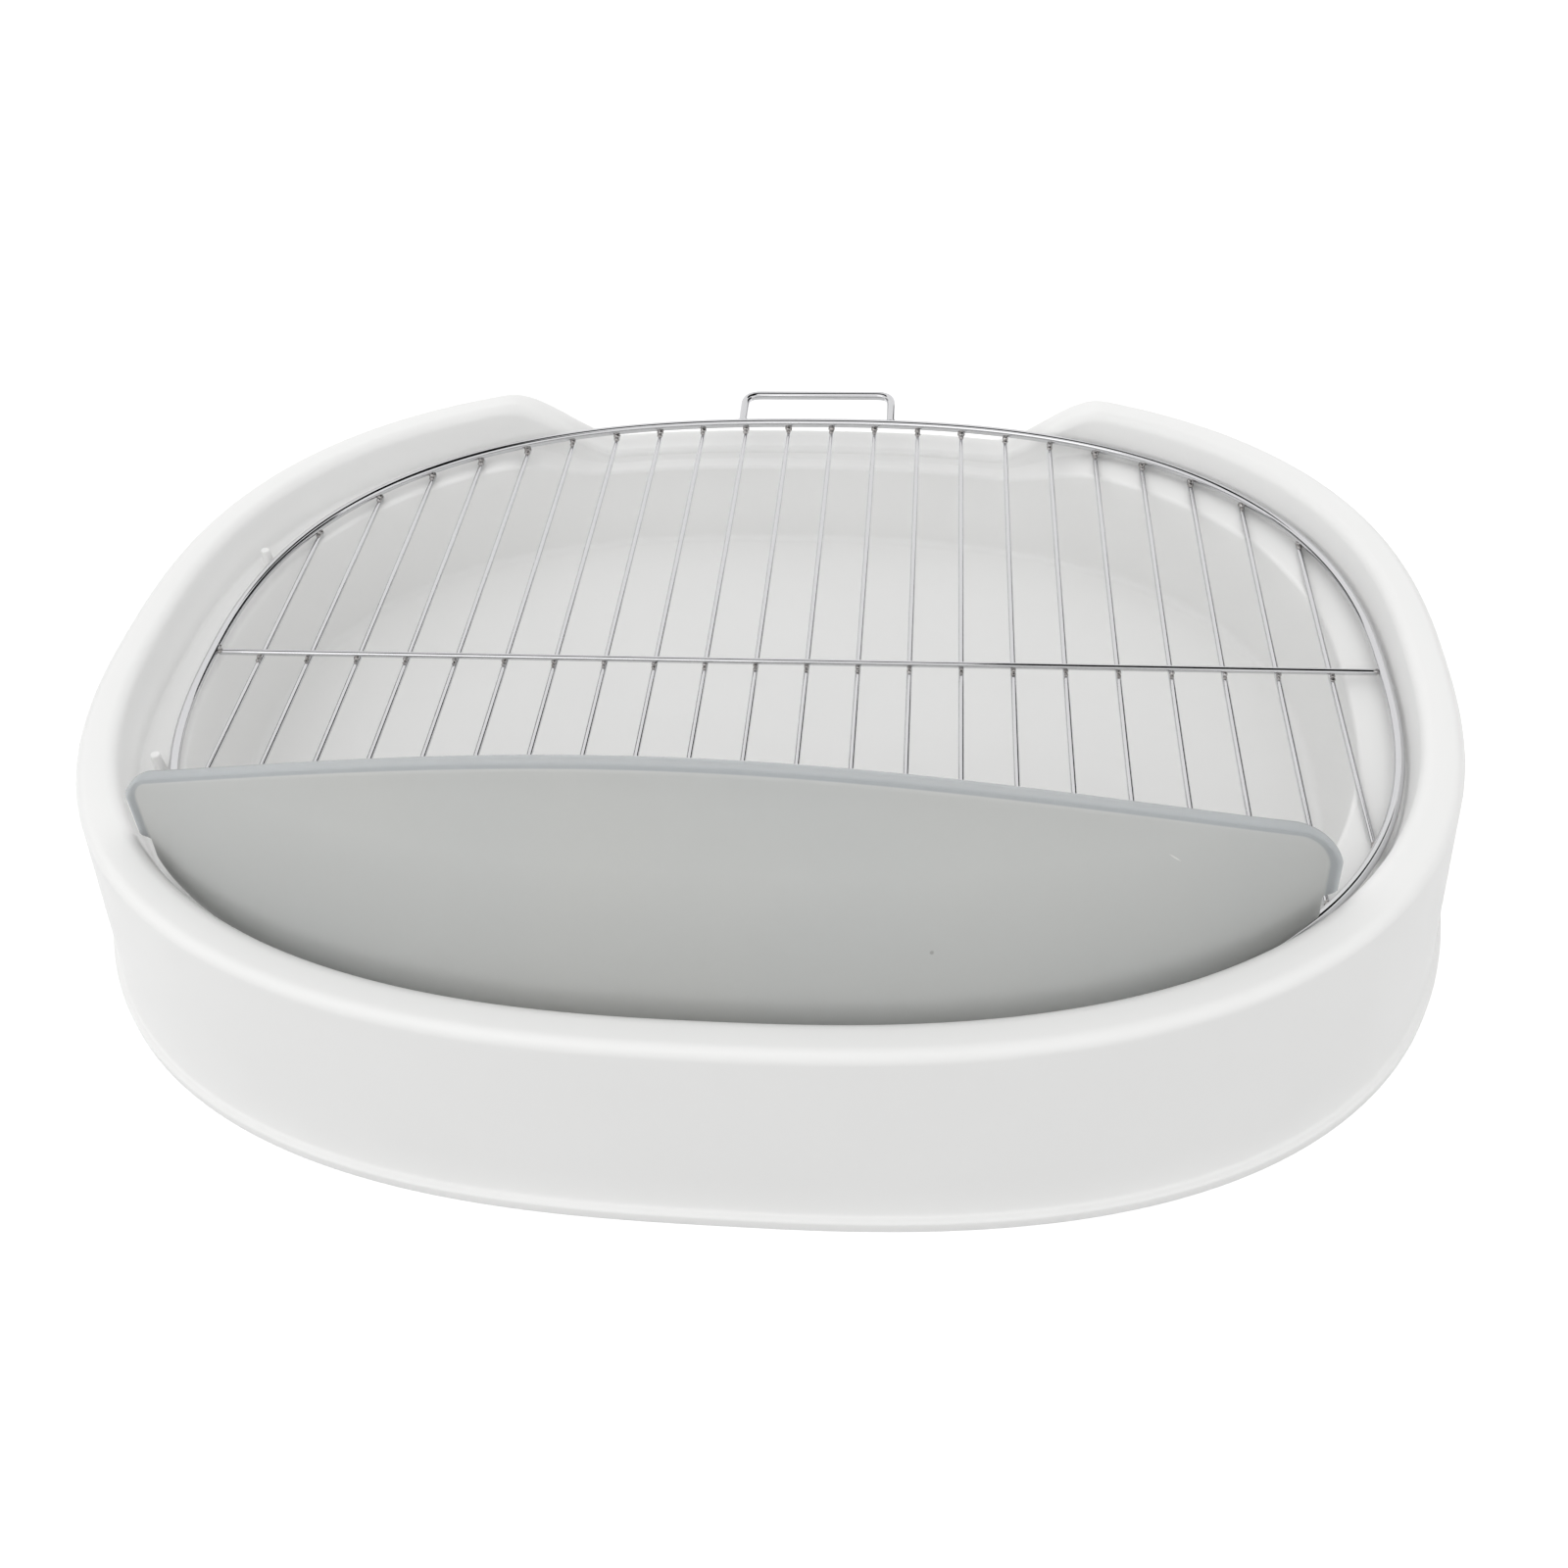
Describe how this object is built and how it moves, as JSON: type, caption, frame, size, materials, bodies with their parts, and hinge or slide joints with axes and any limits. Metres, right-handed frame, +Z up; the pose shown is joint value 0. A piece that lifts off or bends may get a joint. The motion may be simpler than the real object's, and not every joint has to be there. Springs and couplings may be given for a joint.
{
  "type": "dog potty tray",
  "caption": "Oval white plastic basin with a low entrance, a lift-out wire grate on its inner ledge, and a curved splash guard standing on the grate.",
  "frame": {"origin": "on the ground under the middle of the tray", "axes": "+X to the right along the tray's length, +Y to the low entrance at the back, +Z up; the splash guard is at the front, -Y"},
  "size_m": [0.523, 0.41, 0.1532],
  "materials": {
    "white_plastic": "moulded white polypropylene, satin gloss",
    "stainless_wire": "bright drawn stainless steel wire, welded",
    "frosted_plastic": "frosted grey polypropylene, smooth and matte"
  },
  "bodies": {
    "basin": {"basin": "white_plastic"},
    "grate": {"grate_ring": "stainless_wire", "grate_crossbar": "stainless_wire", "grate_wire_01": "stainless_wire", "grate_wire_02": "stainless_wire", "grate_wire_03": "stainless_wire", "grate_wire_04": "stainless_wire", "grate_wire_05": "stainless_wire", "grate_wire_06": "stainless_wire", "grate_wire_07": "stainless_wire", "grate_wire_08": "stainless_wire", "grate_wire_09": "stainless_wire", "grate_wire_10": "stainless_wire", "grate_wire_11": "stainless_wire", "grate_wire_12": "stainless_wire", "grate_wire_13": "stainless_wire", "grate_wire_14": "stainless_wire", "grate_wire_15": "stainless_wire", "grate_wire_16": "stainless_wire", "grate_wire_17": "stainless_wire", "grate_wire_18": "stainless_wire", "grate_wire_19": "stainless_wire", "grate_wire_20": "stainless_wire", "grate_wire_21": "stainless_wire", "grate_wire_22": "stainless_wire", "grate_handle": "stainless_wire"},
    "guard": {"splash_guard": "frosted_plastic"}
  },
  "joints": [
    {"name": "grate_lift", "type": "slide", "parent": "basin", "child": "grate", "axis": [0, 0, 1], "range_m": [0, 0.15]},
    {"name": "guard_lift", "type": "slide", "parent": "grate", "child": "guard", "axis": [0, 0, 1], "range_m": [0, 0.12]}
  ]
}
